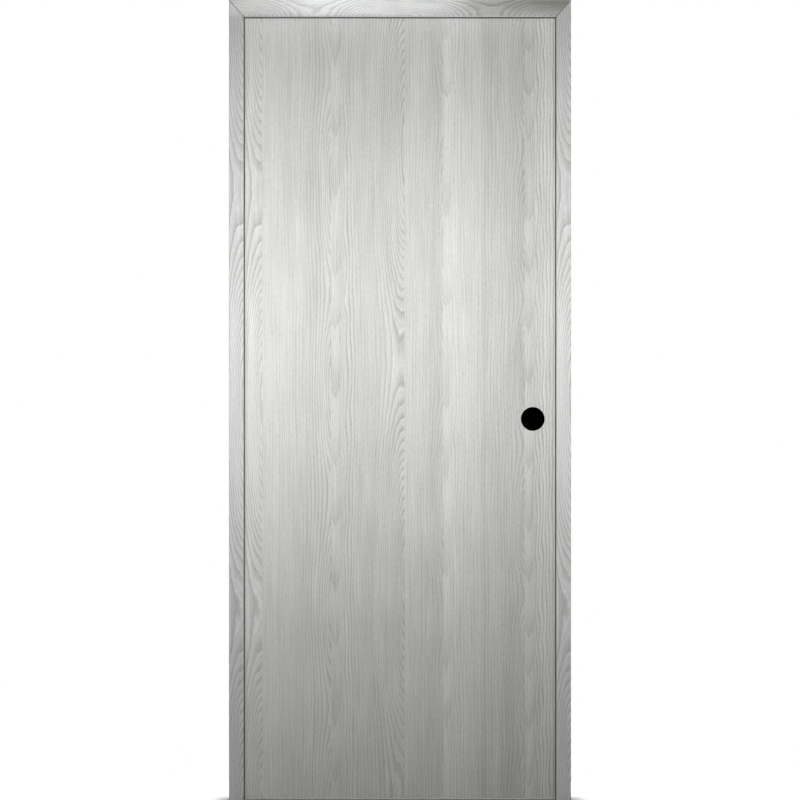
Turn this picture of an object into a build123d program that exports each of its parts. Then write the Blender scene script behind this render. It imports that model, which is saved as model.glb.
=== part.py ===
from build123d import *
import os

# Prehung door: a flush leaf hung on three butt hinges in a mitred, rebated frame.
# Millimetres. X runs from the hinge jamb to the strike jamb, Y from the push side to the
# pull side, Z up from the floor. The origin lies on the wall face of the hinge jamb,
# halfway through the wall, at floor level.

# Leaf
LEAF_WIDTH = 812.8
LEAF_HEIGHT = 2006.6
LEAF_THICKNESS = 40.0
UNDERCUT = 3.0
SKIN = 3.2
EDGE_BAND = 1.0
STILE_WIDTH = 27.0
RAIL_HEIGHT = 27.0
LOCK_BLOCK_WIDTH = 110.0
LOCK_BLOCK_HEIGHT = 460.0
LOCK_BEVEL = 2.0

# Frame
JAMB_DEPTH = 116.0
LEG_FACE = 37.0
HEAD_FACE = 42.5
STOP_PROJECTION = 10.0
HINGE_GAP = 3.0
LOCK_GAP = 5.0
HEAD_OVERLAP = 5.0
EDGE_EASE = 1.5
MITRE_EASE = 0.6

# Seal in the stop
SEAL_SPACE = 5.0
SEAL_CLEARANCE = 0.3
SEAL_PEEK = 2.7
SEAL_WALL = 1.0
SEAL_SETBACK = 1.5
KERF_WIDTH = 3.0
KERF_DEPTH = 7.0
KERF_INSET = 5.0
STEM_CLEARANCE = 0.1

# Butt hinges
HINGE_HEIGHT = 88.9
PLATE_WIDTH = 32.0
PLATE_THICKNESS = 2.5
PLATE_CORNER = 6.35
MORTISE_PLAY = 0.2
KNUCKLE_COUNT = 5
KNUCKLE_RADIUS = 6.0
KNUCKLE_GAP = 0.4
KNUCKLE_CLEARANCE = 0.5
PIN_RADIUS = 3.0
PIN_CLEARANCE = 0.05
PIN_HEAD_RADIUS = 4.6
PIN_HEAD_HEIGHT = 3.0
SCREW_HOLE_RADIUS = 2.4
TOP_HINGE_DROP = 228.6
BOTTOM_HINGE_RISE = 330.2

# Lock preparation
CROSS_BORE_RADIUS = 30.5
BACKSET = 65.0
LOCK_HEIGHT = 975.0
LATCH_BORE_RADIUS = 11.1
FACEPLATE_WIDTH = 25.4
FACEPLATE_HEIGHT = 57.15
FACEPLATE_DEPTH = 2.5
FACEPLATE_CORNER = 6.35
STRIKE_WIDTH = 33.0
STRIKE_HEIGHT = 57.15
STRIKE_DEPTH = 2.0
STRIKE_CORNER = 6.35
STRIKE_POCKET_RADIUS = 12.7
STRIKE_POCKET_DEPTH = 18.0

# Positions that follow from the sizes
LEG_REBATED = LEG_FACE - STOP_PROJECTION
LEAF_HINGE_EDGE = LEG_REBATED + HINGE_GAP
LEAF_LOCK_EDGE = LEAF_HINGE_EDGE + LEAF_WIDTH
STRIKE_FACE = LEAF_LOCK_EDGE + LOCK_GAP
OVERALL_WIDTH = STRIKE_FACE + LEG_REBATED
LEAF_TOP = UNDERCUT + LEAF_HEIGHT
OVERALL_HEIGHT = LEAF_TOP - HEAD_OVERLAP + HEAD_FACE
FRAME_FRONT = -JAMB_DEPTH / 2
FRAME_REAR = JAMB_DEPTH / 2
LEAF_REAR = FRAME_REAR
LEAF_FRONT = LEAF_REAR - LEAF_THICKNESS
LEAF_MIDDLE = (LEAF_FRONT + LEAF_REAR) / 2
STOP_REAR = LEAF_FRONT - SEAL_SPACE
HEAD_STRETCH = HEAD_FACE / LEG_FACE
SEAM_SIDE = MITRE_EASE * 2**0.5
HINGE_AXIS_X = (LEG_REBATED + LEAF_HINGE_EDGE) / 2
HINGE_AXIS_Y = FRAME_REAR + KNUCKLE_RADIUS + KNUCKLE_CLEARANCE
CROSS_BORE_X = LEAF_LOCK_EDGE - BACKSET
CORE_FRONT = LEAF_FRONT + SKIN
CORE_REAR = LEAF_REAR - SKIN
CORE_HINGE_SIDE = LEAF_HINGE_EDGE + EDGE_BAND + STILE_WIDTH
CORE_LOCK_SIDE = LEAF_LOCK_EDGE - LOCK_BEVEL - EDGE_BAND - STILE_WIDTH
CORE_BOTTOM = UNDERCUT + RAIL_HEIGHT
CORE_TOP = LEAF_TOP - RAIL_HEIGHT
TOP_HINGE = LEAF_TOP - TOP_HINGE_DROP
BOTTOM_HINGE = BOTTOM_HINGE_RISE
HINGES = {
    "bottom": BOTTOM_HINGE,
    "middle": (BOTTOM_HINGE + TOP_HINGE) / 2,
    "top": TOP_HINGE,
}

# Planes: the two mitres run from the outer to the inner corner of the frame
HINGE_MITRE = Plane(
    origin=(0, 0, OVERALL_HEIGHT), x_dir=(0, 1, 0), z_dir=(HEAD_FACE, 0, LEG_FACE)
)
STRIKE_MITRE = Plane(
    origin=(OVERALL_WIDTH, 0, OVERALL_HEIGHT), x_dir=(0, 1, 0), z_dir=(-HEAD_FACE, 0, LEG_FACE)
)
HINGE_SEAM = Plane(
    origin=(0, FRAME_FRONT, OVERALL_HEIGHT), x_dir=(0, 1, 0), z_dir=(LEG_FACE, 0, -HEAD_FACE)
)
STRIKE_SEAM = Plane(
    origin=(OVERALL_WIDTH, FRAME_FRONT, OVERALL_HEIGHT), x_dir=(0, 1, 0), z_dir=(-LEG_FACE, 0, -HEAD_FACE)
)
STRIKE_LEG_TOP = Plane(origin=(OVERALL_WIDTH, 0, OVERALL_HEIGHT), x_dir=(-1, 0, 0), z_dir=(0, 0, -1))
HEAD_END = Plane(origin=(0, 0, OVERALL_HEIGHT), x_dir=(0, 0, -1), z_dir=(1, 0, 0))
LEAF_FOOT = Plane.XY.offset(UNDERCUT)
BORE_MOUTH = Plane(origin=(CROSS_BORE_X, LEAF_FRONT, LOCK_HEIGHT), x_dir=(1, 0, 0), z_dir=(0, -1, 0))
LATCH_MOUTH = Plane(
    origin=(LEAF_LOCK_EDGE, LEAF_MIDDLE, LOCK_HEIGHT), x_dir=(0, 1, 0), z_dir=(1, 0, 0)
)
STRIKE_MOUTH = Plane(origin=(STRIKE_FACE, LEAF_MIDDLE, LOCK_HEIGHT), x_dir=(0, 1, 0), z_dir=(-1, 0, 0))
JAMB_PLATE_FACE = Plane(origin=(LEG_REBATED, FRAME_REAR, 0), x_dir=(0, 1, 0), z_dir=(1, 0, 0))
LEAF_PLATE_FACE = Plane(origin=(LEAF_HINGE_EDGE, LEAF_REAR, 0), x_dir=(0, 1, 0), z_dir=(1, 0, 0))
LEAF_SCREW_FACE = Plane(origin=(LEAF_HINGE_EDGE, LEAF_REAR, 0), x_dir=(0, 1, 0), z_dir=(-1, 0, 0))

# Screws sit in a triangle, the outer two nearer the knuckle, as shares of the plate's size
SCREW_SPOTS = [
    (-u * PLATE_WIDTH, v * HINGE_HEIGHT)
    for u, v in [(0.32, 0.36), (0.70, 0), (0.32, -0.36)]
]


def jamb_outline(stretch):
    """Section of the frame, measured from its wall face; the head is stretched to meet the legs."""
    kerf_near = (LEG_FACE - KERF_INSET - KERF_WIDTH / 2) * stretch
    kerf_far = (LEG_FACE - KERF_INSET + KERF_WIDTH / 2) * stretch
    return [
        (0, FRAME_FRONT),
        (LEG_FACE * stretch, FRAME_FRONT),
        (LEG_FACE * stretch, STOP_REAR),
        (kerf_far, STOP_REAR),
        (kerf_far, STOP_REAR - KERF_DEPTH),
        (kerf_near, STOP_REAR - KERF_DEPTH),
        (kerf_near, STOP_REAR),
        (LEG_REBATED * stretch, STOP_REAR),
        (LEG_REBATED * stretch, FRAME_REAR),
        (0, FRAME_REAR),
    ]


def jamb_section(stretch):
    """Closed face of the frame section with its long edges eased."""
    with BuildSketch() as section:
        with BuildLine():
            Polyline(*jamb_outline(stretch), close=True)
        make_face()
        fillet(section.vertices().group_by(Axis.Y)[0], EDGE_EASE)
        fillet(section.vertices().group_by(Axis.Y)[-1], EDGE_EASE)
    return section.sketch


def seal_section(stretch):
    """Hollow bulb on a stem, from the stop's rear face to just short of the leaf."""
    near = (LEG_REBATED + SEAL_SETBACK) * stretch
    far = (LEG_FACE + SEAL_PEEK) * stretch
    depth = SEAL_SPACE - SEAL_CLEARANCE
    bulb = Pos((near + far) / 2, STOP_REAR + depth / 2)
    stem_width = KERF_WIDTH * stretch - 2 * STEM_CLEARANCE
    with BuildSketch() as section:
        with Locations(bulb):
            RectangleRounded(far - near, depth, depth * 0.42)
        with Locations(((LEG_FACE - KERF_INSET) * stretch, STOP_REAR)):
            Rectangle(stem_width, KERF_DEPTH - SEAL_CLEARANCE, align=(Align.CENTER, Align.MAX))
        with Locations(bulb):
            hollow = depth - 2 * SEAL_WALL
            RectangleRounded(far - near - 2 * SEAL_WALL, hollow, hollow * 0.42, mode=Mode.SUBTRACT)
    return section.sketch


def plate_outline(play):
    """Hinge plate seen square on: straight at the knuckle, rounded at the far corners."""
    with BuildSketch() as outline:
        Rectangle(PLATE_WIDTH + play, HINGE_HEIGHT + 2 * play, align=(Align.MAX, Align.CENTER))
        fillet(outline.vertices().group_by(Axis.X)[0], PLATE_CORNER)
    return outline.sketch


def hinge_mortises():
    """Recesses for the plates of all three hinges."""
    with BuildSketch() as outlines:
        with Locations(*[(0, z) for z in HINGES.values()]):
            add(plate_outline(MORTISE_PLAY))
    return outlines.sketch


def lock_edge(y, inset):
    """X of the bevelled lock edge at depth y, moved inwards by inset."""
    return LEAF_LOCK_EDGE - LOCK_BEVEL * (LEAF_REAR - y) / LEAF_THICKNESS - inset


def leaf_slab(front, rear, near, inset):
    """Plan of a leaf piece that ends on the bevelled lock edge."""
    return [(near, front), (lock_edge(front, inset), front), (lock_edge(rear, inset), rear), (near, rear)]


os.makedirs("parts", exist_ok=True)

# Frame: two legs and a head of one section
with BuildPart() as hinge_jamb:
    with BuildSketch(Plane.XY):
        add(jamb_section(1))
    extrude(amount=OVERALL_HEIGHT)
    split(bisect_by=HINGE_MITRE, keep=Keep.BOTTOM)
    with BuildSketch(HINGE_SEAM):
        Rectangle(SEAM_SIDE, SEAM_SIDE, rotation=45)
    extrude(amount=HEAD_FACE * 2, both=True, mode=Mode.SUBTRACT)
    with BuildSketch(JAMB_PLATE_FACE):
        add(hinge_mortises())
    extrude(amount=-PLATE_THICKNESS, mode=Mode.SUBTRACT)
hinge_jamb.part.label = "hinge_jamb"
export_step(hinge_jamb.part, "parts/hinge_jamb.step")

with BuildPart() as strike_jamb:
    with BuildSketch(STRIKE_LEG_TOP):
        add(jamb_section(1))
    extrude(amount=OVERALL_HEIGHT)
    split(bisect_by=STRIKE_MITRE, keep=Keep.BOTTOM)
    with BuildSketch(STRIKE_SEAM):
        Rectangle(SEAM_SIDE, SEAM_SIDE, rotation=45)
    extrude(amount=HEAD_FACE * 2, both=True, mode=Mode.SUBTRACT)
    with BuildSketch(STRIKE_MOUTH) as strike_mortise:
        with Locations((LEAF_REAR - LEAF_MIDDLE, 0)):
            Rectangle(STRIKE_WIDTH, STRIKE_HEIGHT, align=(Align.MAX, Align.CENTER))
        fillet(strike_mortise.vertices().group_by(Axis.X)[0], STRIKE_CORNER)
    extrude(amount=-STRIKE_DEPTH, mode=Mode.SUBTRACT)
    with Locations(STRIKE_MOUTH):
        Hole(STRIKE_POCKET_RADIUS, STRIKE_POCKET_DEPTH)
strike_jamb.part.label = "strike_jamb"
export_step(strike_jamb.part, "parts/strike_jamb.step")

with BuildPart() as head_jamb:
    with BuildSketch(HEAD_END):
        add(jamb_section(HEAD_STRETCH))
    extrude(amount=OVERALL_WIDTH)
    split(bisect_by=HINGE_MITRE, keep=Keep.TOP)
    split(bisect_by=STRIKE_MITRE, keep=Keep.TOP)
    with BuildSketch(HINGE_SEAM, STRIKE_SEAM):
        Rectangle(SEAM_SIDE, SEAM_SIDE, rotation=45)
    extrude(amount=HEAD_FACE * 2, both=True, mode=Mode.SUBTRACT)
head_jamb.part.label = "head_jamb"
export_step(head_jamb.part, "parts/head_jamb.step")

# Seal: three lengths, mitred like the frame
with BuildPart() as hinge_side_seal:
    with BuildSketch(Plane.XY):
        add(seal_section(1))
    extrude(amount=OVERALL_HEIGHT)
    split(bisect_by=HINGE_MITRE, keep=Keep.BOTTOM)
hinge_side_seal.part.label = "hinge_side_seal"
export_step(hinge_side_seal.part, "parts/hinge_side_seal.step")

with BuildPart() as strike_side_seal:
    with BuildSketch(STRIKE_LEG_TOP):
        add(seal_section(1))
    extrude(amount=OVERALL_HEIGHT)
    split(bisect_by=STRIKE_MITRE, keep=Keep.BOTTOM)
strike_side_seal.part.label = "strike_side_seal"
export_step(strike_side_seal.part, "parts/strike_side_seal.step")

with BuildPart() as head_seal:
    with BuildSketch(HEAD_END):
        add(seal_section(HEAD_STRETCH))
    extrude(amount=OVERALL_WIDTH)
    split(bisect_by=HINGE_MITRE, keep=Keep.TOP)
    split(bisect_by=STRIKE_MITRE, keep=Keep.TOP)
head_seal.part.label = "head_seal"
export_step(head_seal.part, "parts/head_seal.step")

# Leaf: two skins over stiles, rails and a core, banded on the long edges
with BuildPart() as front_skin:
    with BuildSketch(LEAF_FOOT):
        with BuildLine():
            Polyline(*leaf_slab(LEAF_FRONT, CORE_FRONT, LEAF_HINGE_EDGE + EDGE_BAND, EDGE_BAND), close=True)
        make_face()
    extrude(amount=LEAF_HEIGHT)
    with Locations(BORE_MOUTH):
        Hole(CROSS_BORE_RADIUS, LEAF_THICKNESS)
front_skin.part.label = "front_skin"
export_step(front_skin.part, "parts/front_skin.step")

with BuildPart() as back_skin:
    with BuildSketch(LEAF_FOOT):
        with BuildLine():
            Polyline(*leaf_slab(CORE_REAR, LEAF_REAR, LEAF_HINGE_EDGE + EDGE_BAND, EDGE_BAND), close=True)
        make_face()
    extrude(amount=LEAF_HEIGHT)
    with Locations(BORE_MOUTH):
        Hole(CROSS_BORE_RADIUS, LEAF_THICKNESS)
    with BuildSketch(LEAF_PLATE_FACE):
        add(hinge_mortises())
    extrude(amount=PLATE_THICKNESS, mode=Mode.SUBTRACT)
back_skin.part.label = "back_skin"
export_step(back_skin.part, "parts/back_skin.step")

with BuildPart() as hinge_stile:
    with BuildSketch(LEAF_FOOT):
        with Locations((LEAF_HINGE_EDGE + EDGE_BAND, LEAF_MIDDLE)):
            Rectangle(STILE_WIDTH, CORE_REAR - CORE_FRONT, align=(Align.MIN, Align.CENTER))
    extrude(amount=LEAF_HEIGHT)
    with BuildSketch(LEAF_PLATE_FACE):
        add(hinge_mortises())
    extrude(amount=PLATE_THICKNESS, mode=Mode.SUBTRACT)
hinge_stile.part.label = "hinge_stile"
export_step(hinge_stile.part, "parts/hinge_stile.step")

with BuildPart() as hinge_edge_band:
    with BuildSketch(LEAF_FOOT):
        with Locations((LEAF_HINGE_EDGE, LEAF_MIDDLE)):
            Rectangle(EDGE_BAND, LEAF_THICKNESS, align=(Align.MIN, Align.CENTER))
    extrude(amount=LEAF_HEIGHT)
    with BuildSketch(LEAF_PLATE_FACE):
        add(hinge_mortises())
    extrude(amount=PLATE_THICKNESS, mode=Mode.SUBTRACT)
hinge_edge_band.part.label = "hinge_edge_band"
export_step(hinge_edge_band.part, "parts/hinge_edge_band.step")

with BuildPart() as lock_stile:
    with BuildSketch(LEAF_FOOT):
        with BuildLine():
            Polyline(*leaf_slab(CORE_FRONT, CORE_REAR, CORE_LOCK_SIDE, EDGE_BAND), close=True)
        make_face()
    extrude(amount=LEAF_HEIGHT)
    with BuildSketch(LATCH_MOUTH):
        RectangleRounded(FACEPLATE_WIDTH, FACEPLATE_HEIGHT, FACEPLATE_CORNER)
    extrude(amount=-(FACEPLATE_DEPTH + LOCK_BEVEL / 2), mode=Mode.SUBTRACT)
    with Locations(LATCH_MOUTH):
        Hole(LATCH_BORE_RADIUS, BACKSET)
lock_stile.part.label = "lock_stile"
export_step(lock_stile.part, "parts/lock_stile.step")

with BuildPart() as lock_edge_band:
    with BuildSketch(LEAF_FOOT):
        with BuildLine():
            Polyline(
                (lock_edge(LEAF_FRONT, EDGE_BAND), LEAF_FRONT),
                (lock_edge(LEAF_FRONT, 0), LEAF_FRONT),
                (lock_edge(LEAF_REAR, 0), LEAF_REAR),
                (lock_edge(LEAF_REAR, EDGE_BAND), LEAF_REAR),
                close=True,
            )
        make_face()
    extrude(amount=LEAF_HEIGHT)
    with BuildSketch(LATCH_MOUTH):
        RectangleRounded(FACEPLATE_WIDTH, FACEPLATE_HEIGHT, FACEPLATE_CORNER)
    extrude(amount=-(FACEPLATE_DEPTH + LOCK_BEVEL / 2), mode=Mode.SUBTRACT)
lock_edge_band.part.label = "lock_edge_band"
export_step(lock_edge_band.part, "parts/lock_edge_band.step")

with BuildPart() as bottom_rail:
    with Locations((CORE_HINGE_SIDE, LEAF_MIDDLE, UNDERCUT)):
        Box(
            CORE_LOCK_SIDE - CORE_HINGE_SIDE,
            CORE_REAR - CORE_FRONT,
            RAIL_HEIGHT,
            align=(Align.MIN, Align.CENTER, Align.MIN),
        )
bottom_rail.part.label = "bottom_rail"
export_step(bottom_rail.part, "parts/bottom_rail.step")

with BuildPart() as top_rail:
    with Locations((CORE_HINGE_SIDE, LEAF_MIDDLE, LEAF_TOP)):
        Box(
            CORE_LOCK_SIDE - CORE_HINGE_SIDE,
            CORE_REAR - CORE_FRONT,
            RAIL_HEIGHT,
            align=(Align.MIN, Align.CENTER, Align.MAX),
        )
top_rail.part.label = "top_rail"
export_step(top_rail.part, "parts/top_rail.step")

with BuildPart() as lock_block:
    with Locations((CORE_LOCK_SIDE, LEAF_MIDDLE, LOCK_HEIGHT)):
        Box(
            LOCK_BLOCK_WIDTH,
            CORE_REAR - CORE_FRONT,
            LOCK_BLOCK_HEIGHT,
            align=(Align.MAX, Align.CENTER, Align.CENTER),
        )
    with Locations(BORE_MOUTH):
        Hole(CROSS_BORE_RADIUS, LEAF_THICKNESS)
    with Locations(LATCH_MOUTH):
        Hole(LATCH_BORE_RADIUS, BACKSET)
lock_block.part.label = "lock_block"
export_step(lock_block.part, "parts/lock_block.step")

with BuildPart() as core_panel:
    with Locations((CORE_HINGE_SIDE, LEAF_MIDDLE, CORE_BOTTOM)):
        Box(
            CORE_LOCK_SIDE - CORE_HINGE_SIDE,
            CORE_REAR - CORE_FRONT,
            CORE_TOP - CORE_BOTTOM,
            align=(Align.MIN, Align.CENTER, Align.MIN),
        )
    with Locations((CORE_LOCK_SIDE, LEAF_MIDDLE, LOCK_HEIGHT)):
        Box(
            LOCK_BLOCK_WIDTH,
            CORE_REAR - CORE_FRONT,
            LOCK_BLOCK_HEIGHT,
            align=(Align.MAX, Align.CENTER, Align.CENTER),
            mode=Mode.SUBTRACT,
        )
core_panel.part.label = "core_panel"
export_step(core_panel.part, "parts/core_panel.step")

# Hinges: knuckles alternate between the frame plate and the leaf plate on one pin
KNUCKLE_PITCH = HINGE_HEIGHT / KNUCKLE_COUNT
KNUCKLE_CENTRES = [(k - (KNUCKLE_COUNT - 1) / 2) * KNUCKLE_PITCH for k in range(KNUCKLE_COUNT)]
FRAME_KNUCKLES = KNUCKLE_CENTRES[0::2]
LEAF_KNUCKLES = KNUCKLE_CENTRES[1::2]
KNUCKLE_LENGTH = KNUCKLE_PITCH - KNUCKLE_GAP

with BuildPart() as frame_plate:
    with BuildSketch(JAMB_PLATE_FACE):
        add(plate_outline(0))
    extrude(amount=-PLATE_THICKNESS)
    with Locations(*[(LEG_REBATED, FRAME_REAR, z) for z in FRAME_KNUCKLES]):
        Box(
            PLATE_THICKNESS,
            HINGE_AXIS_Y - FRAME_REAR,
            KNUCKLE_LENGTH,
            align=(Align.MAX, Align.MIN, Align.CENTER),
        )
    with Locations(*[(HINGE_AXIS_X, HINGE_AXIS_Y, z) for z in FRAME_KNUCKLES]):
        Cylinder(KNUCKLE_RADIUS, KNUCKLE_LENGTH)
    with Locations((HINGE_AXIS_X, HINGE_AXIS_Y, 0)):
        Cylinder(PIN_RADIUS + PIN_CLEARANCE, HINGE_HEIGHT, mode=Mode.SUBTRACT)
    with Locations(JAMB_PLATE_FACE):
        with Locations(*SCREW_SPOTS):
            Hole(SCREW_HOLE_RADIUS, PLATE_THICKNESS)

with BuildPart() as hinge_frame_plates:
    with Locations(*[(0, 0, z) for z in HINGES.values()]):
        add(frame_plate.part)
hinge_frame_plates.part.label = "hinge_frame_plates"
export_step(hinge_frame_plates.part, "parts/hinge_frame_plates.step")

with BuildPart() as leaf_plate:
    with BuildSketch(LEAF_PLATE_FACE):
        add(plate_outline(0))
    extrude(amount=PLATE_THICKNESS)
    with Locations(*[(LEAF_HINGE_EDGE, LEAF_REAR, z) for z in LEAF_KNUCKLES]):
        Box(
            PLATE_THICKNESS,
            HINGE_AXIS_Y - LEAF_REAR,
            KNUCKLE_LENGTH,
            align=(Align.MIN, Align.MIN, Align.CENTER),
        )
    with Locations(*[(HINGE_AXIS_X, HINGE_AXIS_Y, z) for z in LEAF_KNUCKLES]):
        Cylinder(KNUCKLE_RADIUS, KNUCKLE_LENGTH)
    with Locations((HINGE_AXIS_X, HINGE_AXIS_Y, 0)):
        Cylinder(PIN_RADIUS + PIN_CLEARANCE, HINGE_HEIGHT, mode=Mode.SUBTRACT)
    with Locations(LEAF_SCREW_FACE):
        with Locations(*SCREW_SPOTS):
            Hole(SCREW_HOLE_RADIUS, PLATE_THICKNESS)

with BuildPart() as hinge_leaf_plates:
    with Locations(*[(0, 0, z) for z in HINGES.values()]):
        add(leaf_plate.part)
hinge_leaf_plates.part.label = "hinge_leaf_plates"
export_step(hinge_leaf_plates.part, "parts/hinge_leaf_plates.step")

for place, height in HINGES.items():
    with BuildPart(Plane.XY.offset(height)) as pin:
        with Locations((HINGE_AXIS_X, HINGE_AXIS_Y, 0)):
            Cylinder(PIN_RADIUS, HINGE_HEIGHT)
        with Locations((HINGE_AXIS_X, HINGE_AXIS_Y, HINGE_HEIGHT / 2)):
            Cylinder(PIN_HEAD_RADIUS, PIN_HEAD_HEIGHT, align=(Align.CENTER, Align.CENTER, Align.MIN))
    pin.part.label = f"{place}_hinge_pin"
    export_step(pin.part, f"parts/{place}_hinge_pin.step")
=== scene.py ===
"""Looks of a prehung door: grey ash foil on leaf and frame, rubber seal, satin hinges, studio stage."""

import math

import bmesh
import bpy
from bpy.props import FloatProperty, FloatVectorProperty, IntProperty, PointerProperty
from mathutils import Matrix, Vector


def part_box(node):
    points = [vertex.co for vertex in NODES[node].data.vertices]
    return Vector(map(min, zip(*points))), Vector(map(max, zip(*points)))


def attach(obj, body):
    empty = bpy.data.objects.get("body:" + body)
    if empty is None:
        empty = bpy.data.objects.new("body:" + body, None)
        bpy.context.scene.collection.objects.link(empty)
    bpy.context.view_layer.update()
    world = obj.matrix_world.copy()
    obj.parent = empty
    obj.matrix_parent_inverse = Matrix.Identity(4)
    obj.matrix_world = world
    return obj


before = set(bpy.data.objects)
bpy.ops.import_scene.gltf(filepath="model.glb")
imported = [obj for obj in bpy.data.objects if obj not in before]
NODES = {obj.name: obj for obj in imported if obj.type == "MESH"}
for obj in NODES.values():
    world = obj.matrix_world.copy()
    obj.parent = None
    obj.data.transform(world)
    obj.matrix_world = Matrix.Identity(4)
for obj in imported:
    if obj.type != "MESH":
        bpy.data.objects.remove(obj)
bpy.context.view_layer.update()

bl_info = {
    "name": "Prehung door",
    "version": (1, 0, 0),
    "blender": (4, 5, 0),
    "location": "3D View > Sidebar > Door",
    "description": "Finishes, hinge screws and studio stage of a prehung door",
    "category": "Object",
}

FRAME_LOW, FRAME_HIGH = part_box("hinge_jamb")
LEAF_LOW, LEAF_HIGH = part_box("front_skin")
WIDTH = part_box("head_jamb")[1].x
HEIGHT = FRAME_HIGH.z
LEG_FACE = FRAME_HIGH.x
HEAD_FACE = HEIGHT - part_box("head_jamb")[0].z
BORE_CENTRE = Vector((0.7778, LEAF_LOW.y, 0.975))
BORE_RADIUS = 0.0306
SKIN = 0.0003  # how near to a cut or wall face the bare board begins
LEAF_SKIN = 0.0002
HEAD_SQUEEZE, HEAD_START = 2.386, -0.039  # the print's length scale and start along the head
SCREW_SPOTS = ((0.01024, 0.032004), (0.0224, 0.0), (0.01024, -0.032004))  # in from the rear face, up from the middle
SCREW_FACES = 8  # fewest faces of one screw head
PIN_LIFT = 0.0015  # the pin's head puts its middle this far above the hinge's
HINGE_HEIGHTS = [sum(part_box(f"{place}_hinge_pin")[k].z for k in (0, 1)) / 2 - PIN_LIFT
                 for place in ("bottom", "middle", "top")]


# Sizes and colours that a user would change


class FoilSettings(bpy.types.PropertyGroup):
    dark: FloatVectorProperty(
        name="Late wood", description="Darkest streaks of the print", subtype="COLOR",
        size=3, min=0, max=1, default=(0.351, 0.344, 0.311))
    pale: FloatVectorProperty(
        name="Early wood", description="Palest panels of the print", subtype="COLOR",
        size=3, min=0, max=1, default=(0.874, 0.876, 0.874))
    ring: FloatProperty(
        name="Ring spacing", description="Distance between two growth lines", subtype="DISTANCE",
        unit="LENGTH", min=0.002, max=0.05, default=0.0086)
    emboss: FloatProperty(
        name="Emboss depth", description="Depth of the pressed grain", subtype="DISTANCE",
        unit="LENGTH", min=0, max=0.002, default=0.00025)
    board: FloatVectorProperty(
        name="Raw board", description="Bare board at cut ends and on the wall faces", subtype="COLOR",
        size=3, min=0, max=1, default=(0.42, 0.30, 0.19))


class HardwareSettings(bpy.types.PropertyGroup):
    nickel: FloatVectorProperty(
        name="Satin nickel", description="Colour of the hinge metal", subtype="COLOR",
        size=3, min=0, max=1, default=(0.47, 0.45, 0.42))
    rubber: FloatVectorProperty(
        name="Seal rubber", description="Colour of the seal", subtype="COLOR",
        size=3, min=0, max=1, default=(0.022, 0.022, 0.024))
    head_radius: FloatProperty(
        name="Screw head radius", description="Radius of a hinge screw's flat head", subtype="DISTANCE",
        unit="LENGTH", min=0.002, max=0.008, default=0.0042)
    head_depth: FloatProperty(
        name="Screw head depth", description="Height of a hinge screw's tapered head", subtype="DISTANCE",
        unit="LENGTH", min=0.001, max=0.005, default=0.0022)
    head_proud: FloatProperty(
        name="Screw head proud", description="How far a head stands above its plate", subtype="DISTANCE",
        unit="LENGTH", min=0, max=0.001, default=0.0002)
    slot: FloatProperty(
        name="Drive width", description="Width of the cross recess", subtype="DISTANCE",
        unit="LENGTH", min=0.0002, max=0.003, default=0.0011)
    seed: IntProperty(
        name="Turn seed", description="Seed for how far each screw is turned", min=0, max=999, default=4)


class StageSettings(bpy.types.PropertyGroup):
    key_power: FloatProperty(
        name="Key lamp", description="Power of the soft lamp in front", unit="POWER",
        min=0, max=200, default=14.8)
    key_place: FloatVectorProperty(
        name="Key place", description="Centre of the soft lamp in front", subtype="TRANSLATION",
        unit="LENGTH", size=3, default=(0.42, -1.18, 1.285))
    head_power: FloatProperty(
        name="Head lamps", description="Power per metre of the three strip lamps on the head", unit="POWER",
        min=0, max=20, default=0.027)
    ambient: FloatProperty(
        name="Ambient", description="Even light from all round", min=0, max=1, default=0.05)
    camera_distance: FloatProperty(
        name="Camera distance", description="From the camera to the middle of the wall", subtype="DISTANCE",
        unit="LENGTH", min=5, max=80, default=40.0)
    view_height: FloatProperty(
        name="View height", description="Height that fills the picture", subtype="DISTANCE",
        unit="LENGTH", min=1, max=5, default=2.0463)


class DoorSettings(bpy.types.PropertyGroup):
    foil: PointerProperty(type=FoilSettings)
    hardware: PointerProperty(type=HardwareSettings)
    stage: PointerProperty(type=StageSettings)


# Node trees


class Wire:
    """One socket's value; arithmetic on it adds Math nodes to its tree."""

    def __init__(self, maker, socket):
        self.maker = maker
        self.socket = socket

    def __getitem__(self, output):
        return Wire(self.maker, self.socket.node.outputs[output])

    def math(self, operation, *values):
        return self.maker.node("ShaderNodeMath", {"operation": operation}, dict(enumerate((self, *values))))

    def clamp(self):
        return self.maker.node("ShaderNodeMath", {"operation": "ADD", "use_clamp": True}, {0: self, 1: 0.0})

    def __add__(self, other):
        return self.math("ADD", other)

    def __radd__(self, other):
        return self.math("ADD", other)

    def __sub__(self, other):
        return self.math("SUBTRACT", other)

    def __rsub__(self, other):
        return self.maker.node("ShaderNodeMath", {"operation": "SUBTRACT"}, {0: other, 1: self})

    def __mul__(self, other):
        return self.math("MULTIPLY", other)

    def __rmul__(self, other):
        return self.math("MULTIPLY", other)

    def __truediv__(self, other):
        return self.math("DIVIDE", other)

    def __rtruediv__(self, other):
        return self.maker.node("ShaderNodeMath", {"operation": "DIVIDE"}, {0: other, 1: self})

    def __neg__(self):
        return self.math("MULTIPLY", -1.0)

    def __abs__(self):
        return self.math("ABSOLUTE")


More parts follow.
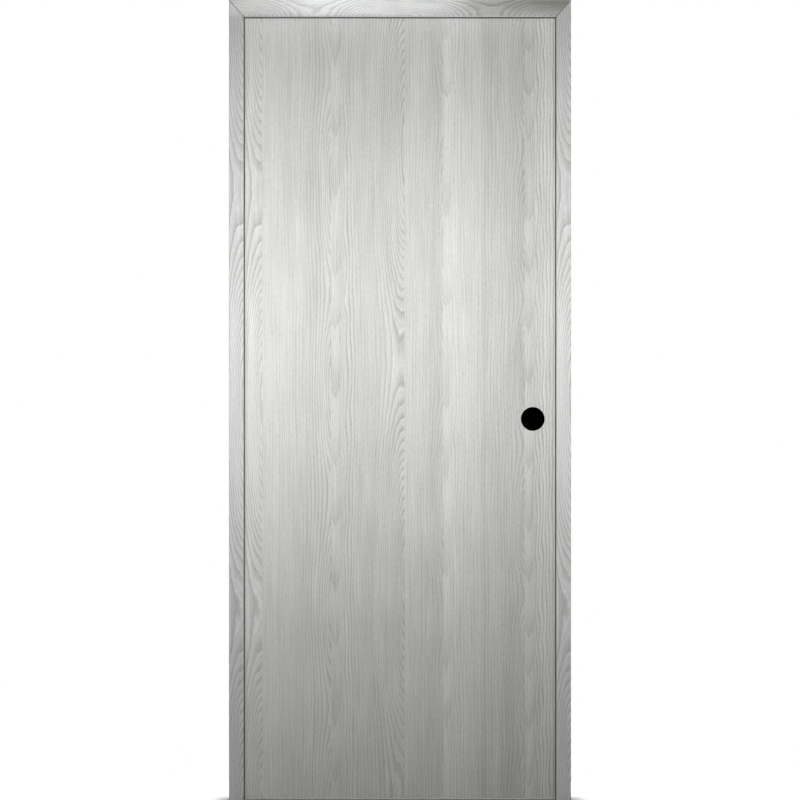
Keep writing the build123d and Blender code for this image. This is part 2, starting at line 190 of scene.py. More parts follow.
class Tree:
    """Adds nodes to one node tree."""

    def __init__(self, tree):
        self.tree = tree

    def node(self, kind, settings=None, sockets=None):
        """A node of that type, its settings set first, then its sockets filled or linked."""
        made = self.tree.nodes.new(kind)
        for key, value in (settings or {}).items():
            if key == "stops":
                ramp = made.color_ramp.elements
                while len(ramp) < len(value):
                    ramp.new(1.0)
                for element, (place, colour) in zip(ramp, value):
                    element.position = place
                    element.color = (*colour, 1.0)
            else:
                setattr(made, key, value)
        for key, value in (sockets or {}).items():
            if isinstance(value, Wire):
                self.tree.links.new(value.socket, made.inputs[key])
            else:
                made.inputs[key].default_value = value
        first = next((o for o in made.outputs if o.enabled), None)
        return Wire(self, first) if first else made

    def noise(self, x, y, seed, detail=2.0, roughness=0.5):
        """Smooth noise round zero over two stretched coordinates."""
        place = self.node("ShaderNodeCombineXYZ", None, {"X": x, "Y": y, "Z": float(seed)})
        return self.node("ShaderNodeTexNoise", {"noise_dimensions": "3D"}, {
            "Vector": place, "Scale": 1.0, "Detail": detail, "Roughness": roughness})["Fac"] - 0.5

    def ramp(self, value, stops):
        """A colour ramp; its stops are (place, colour or grey)."""
        stops = [(place, tone if isinstance(tone, tuple) else (tone,) * 3) for place, tone in stops]
        return self.node("ShaderNodeValToRGB", {"stops": stops}, {"Fac": value})

    def mix(self, factor, first, second):
        """Two colours mixed; colours may be wires or three numbers."""
        fill = [c if isinstance(c, Wire) else (*c, 1.0) for c in (first, second)]
        return self.node("ShaderNodeMix", {"data_type": "RGBA"}, {
            "Factor": factor, 6: fill[0], 7: fill[1]})[2]

    def smooth(self, value, low, high):
        """0 at low, 1 at high, eased between."""
        return self.node("ShaderNodeMapRange", {"interpolation_type": "SMOOTHSTEP"}, {
            "Value": value, "From Min": low, "From Max": high})


def new_material(name):
    """An empty node material and the tree to fill."""
    material = bpy.data.materials.new(name)
    material.use_nodes = True
    material.node_tree.nodes.clear()
    return material, Tree(material.node_tree)


def close_surface(tree, shader):
    """Ends a material with its output."""
    tree.node("ShaderNodeOutputMaterial", None, {"Surface": shader})


def place_of(tree):
    """Object coordinates as three wires."""
    place = tree.node("ShaderNodeTexCoord")["Object"]
    split = tree.node("ShaderNodeSeparateXYZ", None, {"Vector": place})
    return split["X"], split["Y"], split["Z"]


def dress(material, *names):
    """Puts a material in the slots of CAD nodes."""
    for name in names:
        slots = NODES[name].material_slots
        if not slots:
            raise RuntimeError(f"{name} has no material slot")
        for slot in slots:
            slot.material = material


# Grey ash print: narrow staves side by side, some with arches against a seam, some with pale drops

ARCHES = [
    # seam across, start along, wave length along, swing, reach to the left of the seam, roundness of the tops
    (0.0844, 0.21, 1.08, 0.056, 0.034, 0.016),
    (0.2609, 0.10, 0.54, 0.018, 0.024, 0.005),
    (0.4489, 0.85, 1.10, 0.060, 0.038, 0.018),
    (0.5474, 0.31, 0.64, 0.016, 0.020, 0.005),
    (0.7571, 0.05, 0.38, 0.018, 0.022, 0.005),
]

DROPS = [
    # seam across, width to the right of the seam, pitch along, start along
    (0.2609, 0.030, 0.165, 0.05),
    (0.5474, 0.024, 0.230, 0.12),
    (0.7571, 0.028, 0.134, 0.02),
]

PALE, MIDDLE, DARK = 0.59, 0.51, 0.36
STAVES = [
    # right-hand seam across, tone of the stave
    (0.0844, PALE), (0.2609, PALE), (0.4489, MIDDLE), (0.5474, MIDDLE), (0.6471, PALE), (0.7571, DARK), (WIDTH, DARK),
]
STAVE_FALL = 0.12  # every stave darkens by this towards its right-hand seam
SEAM_HALF = 0.0012

LINES = [
    # share of the unit's width, strength of the growth lines
    (0.0, 0.75), (0.0955, 0.80), (0.0975, 0.12), (0.16, 0.14), (0.225, 0.22), (0.25, 0.62), (0.296, 0.72),
    (0.300, 0.05), (0.335, 0.10), (0.342, 1.00), (0.362, 0.75), (0.385, 0.18), (0.42, 0.24), (0.45, 0.65),
    (0.512, 0.80), (0.514, 0.12), (0.57, 0.20), (0.60, 0.40), (0.625, 0.35), (0.627, 0.08), (0.652, 0.20), (0.66, 0.55),
    (0.70, 0.30), (0.75, 0.30), (0.82, 0.45), (0.864, 0.55), (0.867, 0.05), (0.893, 0.10), (0.90, 1.00),
    (0.955, 1.00), (1.0, 0.80),
]

DROP_TONE = [(0.0, 0.0), (0.10, 0.12), (0.42, 0.75), (0.75, 1.0), (0.985, 0.9), (1.0, 0.2)]
LINE_TONE = [(0.0, 0.55), (0.13, 0.0), (0.30, 1.0), (0.62, 0.66), (1.0, 0.55)]
HAIR_TONE = [(0.0, 0.5), (0.25, 0.0), (0.6, 1.0), (1.0, 0.5)]
PINE_TONE = [(0.0, 0.15), (0.55, 0.55), (0.9, 1.0), (1.0, 0.15)]

GRAIN = {
    # turns a metre across, turns a metre along, seed, detail, roughness
    "wide_sway": (4.0, 0.9, 1, 2.0, 0.5),
    "sway": (18.0, 4.2, 2, 2.0, 0.5),
    "fine_sway": (50.0, 17.0, 3, 2.0, 0.5),
    "bend": (3.0, 2.6, 4, 2.0, 0.5),
    "drop_pitch": (9.0, 3.2, 5, 2.0, 0.5),
    "drift": (9.0, 0.7, 6, 2.0, 0.5),
    "ragged": (75.0, 9.0, 7, 2.0, 0.5),
    "presence": (10.0, 1.3, 8, 2.0, 0.5),
    "groups": (26.0, 0.45, 9, 2.0, 0.5),
    "streak": (190.0, 3.0, 10, 2.0, 0.5),
    "fibre": (400.0, 8.0, 11, 2.0, 0.6),
    "fleck": (310.0, 95.0, 12, 2.0, 0.5),
    "pores": (800.0, 120.0, 13, 1.0, 0.5),
    "bands": (7.0, 1.2, 14, 2.0, 0.5),
    "patch": (24.0, 6.0, 15, 3.0, 0.5),
}


def stave_stops():
    """Tone over the share of the unit's width: one plain tone a stave, falling to the right."""
    stops, left = [], 0.0
    for right, tone in STAVES:
        stops += [((left + SEAM_HALF) / WIDTH, tone + STAVE_FALL / 2),
                  ((right - SEAM_HALF) / WIDTH, tone - STAVE_FALL / 2)]
        left = right
    return stops


def ash_print(tree, across, along, foil):
    """Tone, height and fine streak of the print at a place across and along the grain, in metres."""
    def profile(stops):
        return tree.ramp(across / WIDTH, stops)

    def grain(kind, place):
        wide, long, seed, detail, roughness = GRAIN[kind]
        return tree.noise(place * wide, along * long, seed, detail, roughness)

    swayed = across + (grain("wide_sway", across) * 0.016 + grain("sway", across) * 0.010
                       + grain("fine_sway", across) * 0.0036)
    bent = along + grain("bend", across) * 0.07
    rise = swayed
    for seam, start, wave, swing, reach, roundness in ARCHES:
        side = (seam - across).math("MAXIMUM", 0.0)
        near = side.math("GREATER_THAN", 0.0) / ((side / reach).math("POWER", 2.0) + 1)
        rise = rise + side - (side * side + roundness ** 2).math("SQRT")
        rise = rise - (((bent - start) * (math.tau / wave)).math("SINE") - 0.45) * swing * near
    drops = 0.0
    for seam, width, pitch, start in DROPS:
        side = across - seam
        turn = (bent - start - abs(side - width * 0.36) * 2.6) / pitch + grain("drop_pitch", seam) * 1.7
        bulge = (turn * math.tau).math("SINE")
        rise = rise + bulge * 0.0024 * tree.smooth(side, 0.0, 0.014) * tree.smooth(side, 0.10, 0.02)
        inside = tree.smooth(side, 0.0, 0.0015) * tree.smooth(side - bulge * 0.004, width, width * 0.62)
        drops = drops + inside * (tree.ramp(turn.math("FRACT"), DROP_TONE) - 0.6)
    rise = rise + grain("drift", swayed) * 0.008 + grain("ragged", swayed) * 0.0030
    turns = rise / foil.ring
    lines = tree.ramp(turns.math("FRACT"), LINE_TONE) - 0.6
    hair = tree.ramp((turns * 2.0 + 0.37).math("FRACT"), HAIR_TONE) - 0.5
    presence = profile(LINES) * tree.smooth(grain("presence", swayed), -0.36, 0.06)
    groups, streak = grain("groups", rise), grain("streak", swayed)
    fibre, fleck, patch = grain("fibre", swayed), grain("fleck", swayed), grain("patch", swayed)
    pores = tree.smooth(grain("pores", swayed), 0.08, 0.22)
    bands = (profile(stave_stops()) - 0.5) * (grain("bands", across) * 0.9 + 1.0)
    tone = (0.63 + bands * 0.9 + drops * 0.21 + groups * 0.30 + lines * (presence * 0.90 + 0.06)
            + hair * (0.36 - presence * 0.16) + streak * 0.36 + fibre * 0.48 + patch * 0.28
            + fleck * 0.36 - pores * 0.12)
    height = lines * (presence * 0.5 + 0.1) + fibre * 0.8 + fleck * 0.4 - pores * 0.6
    return tone, height, fibre


def foil_material(name, across, along, bare, foil, shade=None):
    """Foil with the ash print on its faces and bare board where the mask says so."""
    material, tree = new_material(name)
    x, y, z = place_of(tree)
    tone, height, fibre = ash_print(tree, across(x, y, z), along(x, y, z), foil)
    # Painted shade from the caller (the mitres' dark lines, the head's darker ends) is added to the print's tone here.
    if shade is not None:
        tone = tone + shade(tree, x, y, z)
    dark, pale = Vector(foil.dark), Vector(foil.pale)
    colour = tree.ramp(tone.clamp(), [
        (0.0, tuple(dark)),
        (0.5, tuple(dark.lerp(pale, 0.5))),
        (1.0, tuple(pale))])
    mask = bare(tree, x, y, z)
    grit = tree.noise(x * 700.0, z * 700.0, 20, 3.0) + tree.noise(y * 900.0, z * 500.0, 21, 2.0)
    board = tree.mix((grit * 0.9 + 0.5).clamp(), tuple(Vector(foil.board) * 0.72), tuple(Vector(foil.board) * 1.25))
    colour = tree.mix(mask, colour, board)
    rough = (0.56 + fibre * 0.12) * (1 - mask) + mask * 0.85
    bump = tree.node("ShaderNodeBump", None, {
        "Strength": 0.55, "Distance": foil.emboss, "Height": height * (1 - mask) + grit * mask * 0.8})
    shader = tree.node("ShaderNodeBsdfPrincipled", None, {
        "Base Color": colour, "Roughness": rough, "Specular IOR Level": 0.35, "Normal": bump})
    close_surface(tree, shader)
    return material


def softwood_material(name, along_x):
    """Planed pine with its rings along the piece."""
    material, tree = new_material(name)
    x, y, z = place_of(tree)
    along, across = (x, z) if along_x else (z, x)
    sway = across + y * 0.6 + tree.noise(across * 20.0, along * 2.0, 30) * 0.02
    rings = tree.ramp((sway * 190.0 + tree.noise(sway * 60.0, along * 1.5, 31) * 1.6).math("FRACT"), PINE_TONE)
    fibre = tree.noise(sway * 900.0, along * 14.0, 32, 2.0)
    colour = tree.mix((rings * 0.6 + fibre * 0.5).clamp(), (0.68, 0.49, 0.28), (0.47, 0.28, 0.12))
    bump = tree.node("ShaderNodeBump", None, {
        "Strength": 0.4, "Distance": 0.0002, "Height": fibre + rings * 0.3})
    shader = tree.node("ShaderNodeBsdfPrincipled", None, {
        "Base Color": colour, "Roughness": 0.72 + fibre * 0.15, "Normal": bump})
    close_surface(tree, shader)
    return material


def chip_material():
    """Pressed chips of the core."""
    material, tree = new_material("core_chips")
    place = tree.node("ShaderNodeTexCoord")["Object"]
    chips = tree.node("ShaderNodeTexVoronoi", None, {"Vector": place, "Scale": 260.0})
    grey = tree.node("ShaderNodeSeparateColor", None, {"Color": chips["Color"]})["Red"]
    colour = tree.mix(grey, (0.36, 0.24, 0.13), (0.62, 0.47, 0.29))
    bump = tree.node("ShaderNodeBump", None, {"Strength": 0.6, "Distance": 0.0006, "Height": chips["Distance"]})
    shader = tree.node("ShaderNodeBsdfPrincipled", None, {
        "Base Color": colour, "Roughness": grey * 0.1 + 0.8, "Normal": bump})
    close_surface(tree, shader)
    return material


def rubber_material(hardware):
    """Matt black seal, drawn along its length and a little dusty."""
    material, tree = new_material("seal_rubber_black")
    x, y, z = place_of(tree)
    drawn = tree.noise(x * 900.0 + y * 700.0, z * 9.0, 40, 2.0)
    dust = tree.smooth(tree.noise(x * 60.0 + z * 35.0, y * 300.0 + z * 12.0, 41, 3.0), 0.02, 0.3)
    base = Vector(hardware.rubber)
    colour = tree.mix(dust * 0.35, tuple(base), tuple(base * 2.2))
    bump = tree.node("ShaderNodeBump", None, {"Strength": 0.3, "Distance": 0.0002, "Height": drawn})
    shader = tree.node("ShaderNodeBsdfPrincipled", None, {
        "Base Color": colour, "Roughness": 0.62 + drawn * 0.2, "Specular IOR Level": 0.3, "Normal": bump})
    close_surface(tree, shader)
    return material


def nickel_material(name, hardware, brushing):
    """Brushed satin metal with fine scratches along the hinge."""
    material, tree = new_material(name)
    x, y, z = place_of(tree)
    brush = tree.noise(x * 3000.0 + y * 3000.0, z * brushing, 50, 2.0, 0.6)
    cloud = tree.noise(x * 90.0 + y * 120.0, z * 60.0, 51, 3.0)
    base = Vector(hardware.nickel)
    colour = tree.mix((brush * 0.8 + cloud * 0.6 + 0.5).clamp(), tuple(base * 0.84), tuple(base * 1.12))
    bump = tree.node("ShaderNodeBump", None, {"Strength": 0.25, "Distance": 0.00008, "Height": brush})
    shader = tree.node("ShaderNodeBsdfPrincipled", None, {
        "Base Color": colour, "Metallic": 1.0, "Roughness": 0.34 + brush * 0.16 + cloud * 0.08, "Normal": bump})
    close_surface(tree, shader)
    return material


# Pieces


class DOOR_OT_leaf_foil(bpy.types.Operator):
    """Wrap the leaf's skins and edge bands in grey ash foil"""

    bl_idname = "door.leaf_foil"
    bl_label = "Leaf foil"

    def execute(self, context):
        def bare(tree, x, y, z):
            reach = ((x - BORE_CENTRE.x).math("POWER", 2.0) + (z - BORE_CENTRE.z).math("POWER", 2.0)).math("SQRT")
            hole = reach.math("LESS_THAN", BORE_RADIUS)
            foot = z.math("LESS_THAN", LEAF_LOW.z + LEAF_SKIN)
            top = z.math("GREATER_THAN", LEAF_HIGH.z - LEAF_SKIN)
            return (hole + foot + top).clamp()

        material = foil_material(
            "leaf_ash_foil",
            lambda x, y, z: x + y - LEAF_LOW.y,
            lambda x, y, z: z,
            bare, context.scene.prehung_door.foil)
        dress(material, "front_skin", "back_skin", "hinge_edge_band", "lock_edge_band")
        return {"FINISHED"}


class DOOR_OT_frame_foil(bpy.types.Operator):
    """Wrap the two legs and the head of the frame in grey ash foil"""

    bl_idname = "door.frame_foil"
    bl_label = "Frame foil"

    def execute(self, context):
        foil = context.scene.prehung_door.foil
        front = FRAME_LOW.y
        start = ARCHES[0][0] - 0.001
        slant = math.hypot(LEG_FACE, HEAD_FACE)

        def seam(tree, x, y, z, side):
            """Painted shade: a thin dark line of a mitre, where the joint's gap lies in shade."""
            run = x if side < 0 else WIDTH - x
            off = abs(run * (HEAD_FACE / slant) + (z - HEIGHT) * (LEG_FACE / slant))
            return tree.smooth(off, 0.0017, 0.0005) * -1.3

        def leg_bare(wall):
            def bare(tree, x, y, z):
                back = abs(x - wall).math("LESS_THAN", SKIN)
                foot = z.math("LESS_THAN", SKIN)
                return (back + foot).clamp()
            return bare

        def head_bare(tree, x, y, z):
            return z.math("GREATER_THAN", HEIGHT - SKIN)

        def head_shade(tree, x, y, z):
            """Painted shade: the head darker towards both ends, most at its top towards the strike side, where light
            falls off, and both mitres' painted shade lines.
            """
            upper = tree.smooth(z, HEIGHT - HEAD_FACE, HEIGHT)
            # Painted shade: darker towards the strike side, most at the top, and a little towards the hinge side.
            painted_end_shade = tree.smooth(x, 0.56, 0.86) * (upper * -0.62 - 0.20) + tree.smooth(x, 0.30, 0.05) * -0.08
            return painted_end_shade + seam(tree, x, y, z, -1) + seam(tree, x, y, z, 1)

        # The legs carry the painted shade line of their mitre; the head carries both and its painted darker ends.
        dress(foil_material(
            "hinge_leg_ash_foil", lambda x, y, z: x + y - front + start - LEG_FACE, lambda x, y, z: z,
            leg_bare(0.0), foil, lambda tree, x, y, z: seam(tree, x, y, z, -1)), "hinge_jamb")
        dress(foil_material(
            "strike_leg_ash_foil", lambda x, y, z: x - y + front + start - WIDTH, lambda x, y, z: z,
            leg_bare(WIDTH), foil, lambda tree, x, y, z: seam(tree, x, y, z, 1)), "strike_jamb")
        dress(foil_material(
            "head_ash_foil", lambda x, y, z: start + HEIGHT - HEAD_FACE - z + y - front,
            lambda x, y, z: x * HEAD_SQUEEZE + HEAD_START,
            head_bare, foil, head_shade), "head_jamb")
        return {"FINISHED"}


class DOOR_OT_leaf_timber(bpy.types.Operator):
    """Give the stiles, rails, lock block and core their wood"""

    bl_idname = "door.leaf_timber"
    bl_label = "Leaf timber"

    def execute(self, context):
        dress(softwood_material("pine_upright", False), "hinge_stile", "lock_stile", "lock_block")
        dress(softwood_material("pine_level", True), "top_rail", "bottom_rail")
        dress(chip_material(), "core_panel")
        return {"FINISHED"}


class DOOR_OT_seal(bpy.types.Operator):
    """Give the three lengths of seal their rubber"""

    bl_idname = "door.seal"
    bl_label = "Seal"

    def execute(self, context):
        material = rubber_material(context.scene.prehung_door.hardware)
        dress(material, "hinge_side_seal", "strike_side_seal", "head_seal")
        return {"FINISHED"}


class DOOR_OT_hinges(bpy.types.Operator):
    """Give hinge plates and pins their satin metal"""

    bl_idname = "door.hinges"
    bl_label = "Hinges"

    def execute(self, context):
        material = nickel_material("satin_nickel_brushed", context.scene.prehung_door.hardware, 40.0)
        dress(material, "hinge_frame_plates", "hinge_leaf_plates",
              "bottom_hinge_pin", "middle_hinge_pin", "top_hinge_pin")
        return {"FINISHED"}


class DOOR_OT_hinge_screws(bpy.types.Operator):
    """Drive the flat-headed screws into both plates of every hinge"""

    bl_idname = "door.hinge_screws"
    bl_label = "Hinge screws"

    def screw_tree(self):
        """Tapered head with a cross recess, set on every point of the mesh and turned by a seed."""
        group = bpy.data.node_groups.new("hinge_screw_rows", "GeometryNodeTree")
        face = group.interface
        face.new_socket("Geometry", in_out="INPUT", socket_type="NodeSocketGeometry")
        for name in ("Head Radius", "Head Depth", "Drive Width"):
            face.new_socket(name, in_out="INPUT", socket_type="NodeSocketFloat")
        face.new_socket("Facing", in_out="INPUT", socket_type="NodeSocketVector")
        face.new_socket("Seed", in_out="INPUT", socket_type="NodeSocketInt")
        face.new_socket("Finish", in_out="INPUT", socket_type="NodeSocketMaterial")
        face.new_socket("Geometry", in_out="OUTPUT", socket_type="NodeSocketGeometry")
        tree = Tree(group)
        given = tree.node("NodeGroupInput")
        head = tree.node("GeometryNodeMeshCone", {"fill_type": "NGON"}, {
            "Vertices": 32, "Radius Top": given["Head Radius"], "Radius Bottom": given["Head Radius"] * 0.55,
            "Depth": given["Head Depth"]})
        reach = given["Head Radius"] * 1.15
        bars = []
        for turned in (False, True):
            long, thin = reach, given["Drive Width"]
            size = tree.node("ShaderNodeCombineXYZ", None, {
                "X": thin if turned else long, "Y": long if turned else thin, "Z": given["Head Depth"]})
            bar = tree.node("GeometryNodeMeshCube", None, {"Size": size})
            lift = tree.node("ShaderNodeCombineXYZ", None, {"Z": given["Head Depth"] * 0.95})
            bars.append(tree.node("GeometryNodeTransform", None, {"Geometry": bar, "Translation": lift}))
        cut = head
        for bar in bars:
            cut = tree.node("GeometryNodeMeshBoolean", {"operation": "DIFFERENCE"}, {0: cut, 1: bar})
        down = tree.node("ShaderNodeCombineXYZ", None, {"Z": given["Head Depth"] * -1.0})
        cut = tree.node("GeometryNodeTransform", None, {"Geometry": cut, "Translation": down})
        spin = tree.node("FunctionNodeRandomValue", {"data_type": "FLOAT"}, {
            2: 0.0, 3: math.pi / 2, "Seed": given["Seed"]})[1]
        roll = tree.node("ShaderNodeCombineXYZ", None, {"Z": spin})
        points = tree.node("GeometryNodeMeshToPoints", None, {"Mesh": given["Geometry"]})
        aim = tree.node("FunctionNodeAlignRotationToVector", {"axis": "Z"}, {"Vector": given["Facing"]})
        rows = tree.node("GeometryNodeInstanceOnPoints", None, {
            "Points": points, "Instance": cut, "Rotation": aim})
        rows = tree.node("GeometryNodeRotateInstances", None, {"Instances": rows, "Rotation": roll})
        solid = tree.node("GeometryNodeRealizeInstances", None, {"Geometry": rows})
        done = tree.node("GeometryNodeSetMaterial", None, {"Geometry": solid, "Material": given["Finish"]})
        tree.node("NodeGroupOutput", None, {0: done})
        return group

    def execute(self, context):
        hardware = context.scene.prehung_door.hardware
        group = self.screw_tree()
        finish = nickel_material("satin_nickel_screw", hardware, 900.0)
        inputs = {item.name: item.identifier for item in group.interface.items_tree if item.in_out == "INPUT"}
        rows = (
            ("frame_hinge_screws", "frame", "hinge_frame_plates", 0.027, 1.0),
            ("leaf_hinge_screws", "leaf", "hinge_leaf_plates", 0.030, -1.0),
        )
        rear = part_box("back_skin")[1].y
        for name, body, plates, face, facing in rows:
            low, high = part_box(plates)
            if not low.x <= face <= high.x:
                raise RuntimeError(f"{plates} has no face at x = {face}")
            mesh = bpy.data.meshes.new(name)
            spots = [(face + facing * hardware.head_proud, rear - back, centre + up)
                     for centre in HINGE_HEIGHTS
                     for back, up in SCREW_SPOTS]
            mesh.from_pydata(spots, [], [])
            carrier = bpy.data.objects.new(name + "_rows", mesh)
            context.scene.collection.objects.link(carrier)
            rule = carrier.modifiers.new("rows", "NODES")
            rule.node_group = group
            rule[inputs["Head Radius"]] = hardware.head_radius
            rule[inputs["Head Depth"]] = hardware.head_depth
            rule[inputs["Drive Width"]] = hardware.slot
            rule[inputs["Facing"]] = (facing, 0.0, 0.0)
            rule[inputs["Seed"]] = hardware.seed
            rule[inputs["Finish"]] = finish
            context.view_layer.update()
            graph = context.evaluated_depsgraph_get()
            solid = bpy.data.meshes.new_from_object(carrier.evaluated_get(graph))
            if len(solid.polygons) < len(spots) * SCREW_FACES:
                raise RuntimeError(f"{name} came out empty")
            piece = bpy.data.objects.new(name, solid)
            context.scene.collection.objects.link(piece)
            carrier.modifiers.clear()
            bpy.data.objects.remove(carrier)
            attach(piece, body)
        return {"FINISHED"}


# Stage

FLOOR_CORNERS = [(-1.6, -1.9, 0), (2.5, -1.9, 0), (2.5, 1.9, 0), (-1.6, 1.9, 0)]
FLOOR_TONE = (0.35, 0.35, 0.35, 1.0)
WARM_WHITE = (1.0, 0.985, 0.96, 1.0)
WHITE, BLACK = (1.0, 1.0, 1.0, 1.0), (0.0, 0.0, 0.0, 1.0)
CARD_Y, CARD_HALF = 60.0, 0.17
KEY_SIZE = (1.2, 0.4)
STRIP_WIDTHS, STRIP_HEIGHT, STRIP_SPREAD = (0.62, 0.42, 0.22), 0.012, math.radians(5.0)
STRIP_PLACE = Vector((0.30, -0.80, 1.97))
FILL_LAMPS = [
    # name, place, aim, power, size
    ("rear_lamp", (0.6, 1.9, 1.7), (0.45, 0.0, 1.0), 20.0, (1.2, 1.2)),
    ("hinge_side_lamp", (-1.7, 0.7, 1.3), (WIDTH / 2, 0.0, 1.0), 16.0, (0.9, 1.6)),
    ("strike_side_lamp", (WIDTH + 1.7, 0.7, 1.3), (WIDTH / 2, 0.0, 1.0), 16.0, (0.9, 1.6)),
    ("top_lamp", (0.44, 0.9, 3.4), (0.44, 0.7, 0.0), 40.0, (2.0, 1.4)),
]


class DOOR_OT_stage(bpy.types.Operator):
    """Set the pale floor with its painted shade round the door's foot, the black card behind the bore as painted shade
    in the hole, lamps, world and camera
    """

    bl_idname = "door.stage"
    bl_label = "Stage"

    def seen(self, tree):
        """1 for rays that show the backdrop: from the camera, in gloss and through glass."""
        path = tree.node("ShaderNodeLightPath")
        return path["Is Camera Ray"].math("MAXIMUM", path["Is Glossy Ray"]).math(
            "MAXIMUM", path["Is Transmission Ray"])

    def floor_material(self, middle):
        """White to the camera, with painted shade round the door's foot where it is seen nearly along its surface: the
        floor glows less there, standing in for the shadow under the door.
        """
        material, tree = new_material("pale_floor")
        x, y, z = place_of(tree)
        # Painted shade: less glow near the door's foot and on the floor just behind the leaf, so it reads as the shadow
        # there.
        beside = (abs(x - middle.x) - middle.x).math("MAXIMUM", 0.0)
        before = (FRAME_LOW.y - y).math("MAXIMUM", y - FRAME_HIGH.y - 0.08).math("MAXIMUM", 0.0)
        foot = (beside * beside * 25.0 + before * before).math("SQRT")
        away = (beside * beside + y * y).math("SQRT")
        lift = (tree.smooth(foot, 0.002, 0.03) * 0.30 + tree.smooth(foot, 0.02, 0.26) * 0.44
                + tree.smooth(away, 0.7, 1.6) * 0.26)
        # The painted shade mostly lifts where the floor is seen from higher up.
        ray = tree.node("ShaderNodeNewGeometry")["Incoming"]
        steep = abs(tree.node("ShaderNodeSeparateXYZ", None, {"Vector": ray})["Z"])
        lift = lift.math("MAXIMUM", tree.smooth(steep, 0.08, 0.13) * 0.62)
        matt = tree.node("ShaderNodeBsdfDiffuse", None, {"Color": FLOOR_TONE})
        glow = tree.node("ShaderNodeEmission", None, {"Color": WHITE, "Strength": 1.0})
        dark = tree.node("ShaderNodeEmission", None, {"Color": BLACK, "Strength": 0.0})
        glow = tree.node("ShaderNodeMixShader", None, {0: lift * self.seen(tree), 1: dark, 2: glow})
        close_surface(tree, tree.node("ShaderNodeAddShader", None, {0: matt, 1: glow}))
        return material

    def panel(self, context, name, corners, material):
        """A flat stage piece."""
        mesh = bpy.data.meshes.new(name)
        work = bmesh.new()
        work.faces.new([work.verts.new(c) for c in corners])
        work.to_mesh(mesh)
        work.free()
        piece = bpy.data.objects.new(name, mesh)
        mesh.materials.append(material)
        context.scene.collection.objects.link(piece)

    def lamp(self, context, name, place, aim, power, size):
        """An area lamp that the camera does not see."""
        light = bpy.data.lights.new(name, "AREA")
        light.energy = power
        light.shape = "RECTANGLE"
        light.size, light.size_y = size
        piece = bpy.data.objects.new(name, light)
        piece.location = place
        piece.rotation_euler = (Vector(aim) - Vector(place)).to_track_quat("-Z", "Y").to_euler()
        piece.visible_camera = False
        context.scene.collection.objects.link(piece)
        return piece

    def execute(self, context):
        scene = context.scene
        stage = scene.prehung_door.stage
        scene.view_settings.view_transform = "Standard"
        middle = Vector((WIDTH / 2, 0.0, HEIGHT / 2))

        world = bpy.data.worlds.new("white_studio")
        scene.world = world
        world.use_nodes = True
        world.node_tree.nodes.clear()
        tree = Tree(world.node_tree)
        even = tree.node("ShaderNodeBackground", None, {"Color": WARM_WHITE, "Strength": stage.ambient})
        white = tree.node("ShaderNodeBackground", None, {"Color": WHITE, "Strength": 1.0})
        both = tree.node("ShaderNodeMixShader", None, {0: self.seen(tree), 1: even, 2: white})
        tree.node("ShaderNodeOutputWorld", None, {"Surface": both})

        self.panel(context, "floor", FLOOR_CORNERS, self.floor_material(middle))
        # Painted shade: a black card far behind the door, on the camera's line through the bore, so the hole looks
        # dark.
        material, tree = new_material("bore_shade_black")
        close_surface(tree, tree.node("ShaderNodeBsdfDiffuse", None, {"Color": BLACK}))
        spread = (CARD_Y + stage.camera_distance) / (BORE_CENTRE.y + stage.camera_distance)
        card = middle + (BORE_CENTRE - middle) * spread
        self.panel(context, "bore_shade_card", [
            (card.x + a * CARD_HALF, CARD_Y, card.z + b * CARD_HALF)
            for a, b in ((-1, -1), (1, -1), (1, 1), (-1, 1))], material)

        key = Vector(stage.key_place)
        self.lamp(context, "key_lamp", key, (key.x, 1.0, key.z), stage.key_power, KEY_SIZE)
        aim = (STRIP_PLACE.x, FRAME_LOW.y, HEIGHT - HEAD_FACE * 0.4)
        for k, width in enumerate(STRIP_WIDTHS):
            strip = self.lamp(context, f"head_lamp_{k + 1}", STRIP_PLACE, aim,
                              stage.head_power * width, (width, STRIP_HEIGHT))
            strip.data.spread = STRIP_SPREAD
        for fill in FILL_LAMPS:
            self.lamp(context, *fill)

        camera = bpy.data.cameras.new("front_camera")
        camera.lens = camera.sensor_width * (stage.camera_distance + FRAME_LOW.y) / stage.view_height
        camera.clip_start, camera.clip_end = 0.1, 300.0
        piece = bpy.data.objects.new("front_camera", camera)
        piece.location = (middle.x, -stage.camera_distance, middle.z)
        piece.rotation_euler = (math.pi / 2, 0.0, 0.0)
        scene.collection.objects.link(piece)
        scene.camera = piece
        return {"FINISHED"}


class DOOR_PT_sidebar(bpy.types.Panel):
    bl_idname = "DOOR_PT_sidebar"
    bl_label = "Prehung door"
    bl_space_type = "VIEW_3D"
    bl_region_type = "UI"
    bl_category = "Door"

    def draw(self, context):
        settings = context.scene.prehung_door
        for title, group, operators in (
            ("Foil", settings.foil, (DOOR_OT_leaf_foil, DOOR_OT_frame_foil, DOOR_OT_leaf_timber)),
            ("Hardware", settings.hardware, (DOOR_OT_seal, DOOR_OT_hinges, DOOR_OT_hinge_screws)),
            ("Stage", settings.stage, (DOOR_OT_stage,)),
        ):
            box = self.layout.box()
            box.label(text=title)
            for key in group.__annotations__:
                box.prop(group, key)
            for operator in operators:
                box.operator(operator.bl_idname)


CLASSES = (
    FoilSettings,
    HardwareSettings,
    StageSettings,
    DoorSettings,
    DOOR_OT_leaf_foil,
    DOOR_OT_frame_foil,
    DOOR_OT_leaf_timber,
    DOOR_OT_seal,
    DOOR_OT_hinges,
    DOOR_OT_hinge_screws,
    DOOR_OT_stage,
    DOOR_PT_sidebar,
)


def register():
    for item in CLASSES:
        bpy.utils.register_class(item)
    bpy.types.Scene.prehung_door = PointerProperty(type=DoorSettings)


def unregister():
    del bpy.types.Scene.prehung_door
    for item in reversed(CLASSES):
        bpy.utils.unregister_class(item)


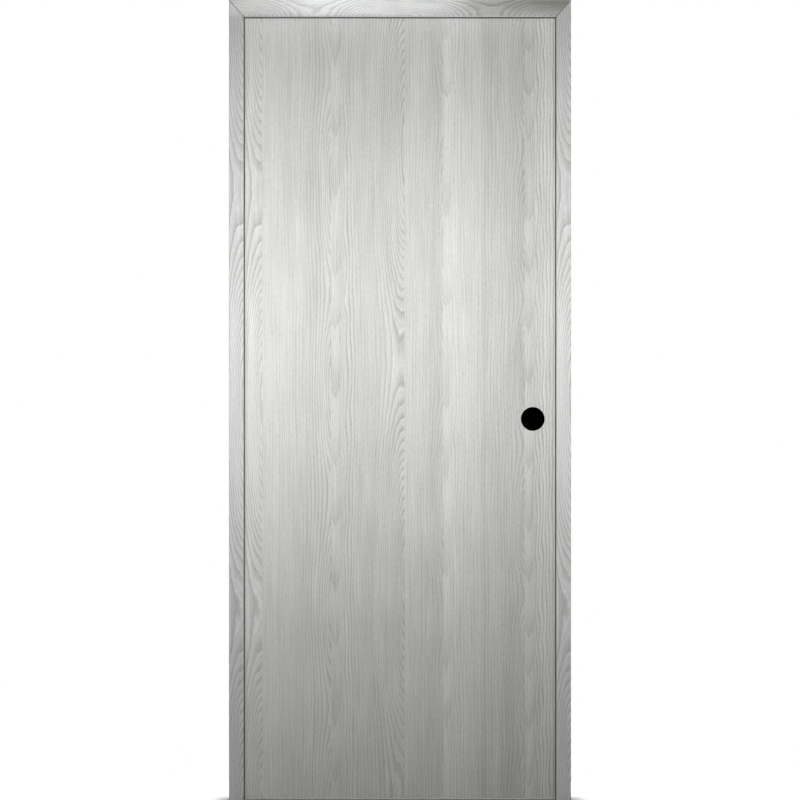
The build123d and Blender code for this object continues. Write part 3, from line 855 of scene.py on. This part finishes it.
def main():
    register()
    bpy.ops.door.leaf_foil()
    bpy.ops.door.frame_foil()
    bpy.ops.door.leaf_timber()
    bpy.ops.door.seal()
    bpy.ops.door.hinges()
    bpy.ops.door.hinge_screws()
    bpy.ops.door.stage()


if __name__ == "__main__":
    main()
